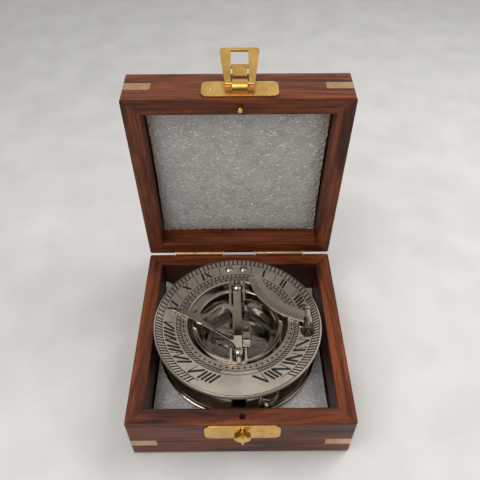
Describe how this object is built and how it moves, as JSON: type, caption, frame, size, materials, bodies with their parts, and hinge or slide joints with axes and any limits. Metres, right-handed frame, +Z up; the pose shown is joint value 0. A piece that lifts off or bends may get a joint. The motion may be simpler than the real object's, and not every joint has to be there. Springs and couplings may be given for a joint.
{
  "type": "folding sundial compass",
  "caption": "Folding sundial compass with hinged hour ring, gnomon, latitude arc and levelling screws, in a hinged wooden box with a brass clasp.",
  "frame": {"origin": "middle of the box's underside", "axes": "+X to the right as seen from the clasp's side, +Y towards the lid's hinges, +Z up"},
  "size_m": [0.127, 0.1606, 0.1782],
  "materials": {
    "rosewood": "oiled, satin",
    "brass": "polished",
    "nickel": "bright nickel plate",
    "foam": "fine closed-cell foam sheet",
    "card": "matt",
    "degree_scale": "silvered, satin",
    "gasket": "matt",
    "glass": "clear",
    "blued_steel": "heat-blued"
  },
  "bodies": {
    "box": {"base_front_wall": "rosewood", "base_rear_wall": "rosewood", "base_left_wall": "rosewood", "base_right_wall": "rosewood", "base_floor": "rosewood", "base_pad": "foam", "base_corner_keys": "brass", "catch_plate": "brass", "catch_knob": "brass", "catch_nails": "brass", "box_hinge_lower_leaves": "brass", "box_hinge_pins": "brass", "box_hinge_lower_screws": "brass"},
    "lid": {"lid_front_wall": "rosewood", "lid_rear_wall": "rosewood", "lid_left_wall": "rosewood", "lid_right_wall": "rosewood", "lid_panel": "rosewood", "lid_pad": "foam", "lid_corner_keys": "brass", "clasp_plate": "brass", "clasp_nails": "brass", "locating_peg": "brass", "box_hinge_upper_leaves": "brass", "box_hinge_upper_screws": "brass"},
    "loop": {"clasp_loop": "brass"},
    "instrument": {"base_plate": "nickel", "compass_bowl": "nickel", "bowl_screws": "nickel", "compass_card": "card", "degree_ring": "degree_scale", "needle_pivot": "brass", "glass_gasket": "gasket", "compass_glass": "glass", "bezel": "nickel", "dial_hinge_post": "nickel", "dial_hinge_pin": "nickel", "arc_post": "nickel"},
    "needle": {"compass_needle": "blued_steel", "needle_cap": "brass"},
    "dial": {"hour_ring": "nickel", "dial_hinge_leaf": "nickel", "dial_hinge_screws": "nickel", "rear_lug": "nickel", "front_lug": "nickel", "gnomon_pivots": "nickel", "arc_bracket": "nickel", "arc_hinge_pin": "nickel"},
    "gnomon_body": {"gnomon": "nickel", "gnomon_spring": "nickel", "spring_screw": "nickel"},
    "arc": {"latitude_arc": "nickel"},
    "screw_front": {"front_levelling_screw": "nickel"},
    "screw_right": {"right_levelling_screw": "nickel"},
    "screw_left": {"left_levelling_screw": "nickel"}
  },
  "joints": [
    {"name": "lid_hinge", "type": "hinge", "parent": "box", "child": "lid", "pos_m": [0, 0.0644, 0.03665], "axis": [-1, 0, 0], "range_deg": [-86, 0]},
    {"name": "loop_pivot", "type": "hinge", "parent": "lid", "child": "loop", "pos_m": [0.0008, 0.06426, 0.16836], "axis": [1, 0, 0], "range_deg": [0, 162]},
    {"name": "instrument_lift", "type": "slide", "parent": "box", "child": "instrument", "axis": [0, -0.1392, 0.9903], "range_m": [0, 0.12]},
    {"name": "needle_turn", "type": "hinge", "parent": "instrument", "child": "needle", "pos_m": [-0.0015, 0.0008, 0.029], "axis": [0, 0, 1], "continuous": true},
    {"name": "dial_tilt", "type": "hinge", "parent": "instrument", "child": "dial", "pos_m": [-0.00215, 0.047, 0.0387], "axis": [-0.9999, -0.014, 0], "range_deg": [0, 65]},
    {"name": "gnomon_fold", "type": "hinge", "parent": "dial", "child": "gnomon_body", "pos_m": [-0.0015, 0.0008, 0.0443], "axis": [-0.014, 0.9999, 0], "range_deg": [0, 90]},
    {"name": "arc_fold", "type": "hinge", "parent": "dial", "child": "arc", "pos_m": [0.0423, 0.00466, 0.044], "axis": [-0.014, 0.9999, 0], "range_deg": [0, 90]},
    {"name": "front_screw_turn", "type": "hinge", "parent": "instrument", "child": "screw_front", "pos_m": [0.01634, -0.03964, 0.02], "axis": [0, 0, 1], "range_deg": [-360, 360]},
    {"name": "right_screw_turn", "type": "hinge", "parent": "instrument", "child": "screw_right", "pos_m": [0.0246, 0.03647, 0.02], "axis": [0, 0, 1], "range_deg": [-360, 360]},
    {"name": "left_screw_turn", "type": "hinge", "parent": "instrument", "child": "screw_left", "pos_m": [-0.04544, 0.00557, 0.02], "axis": [0, 0, 1], "range_deg": [-360, 360]}
  ]
}
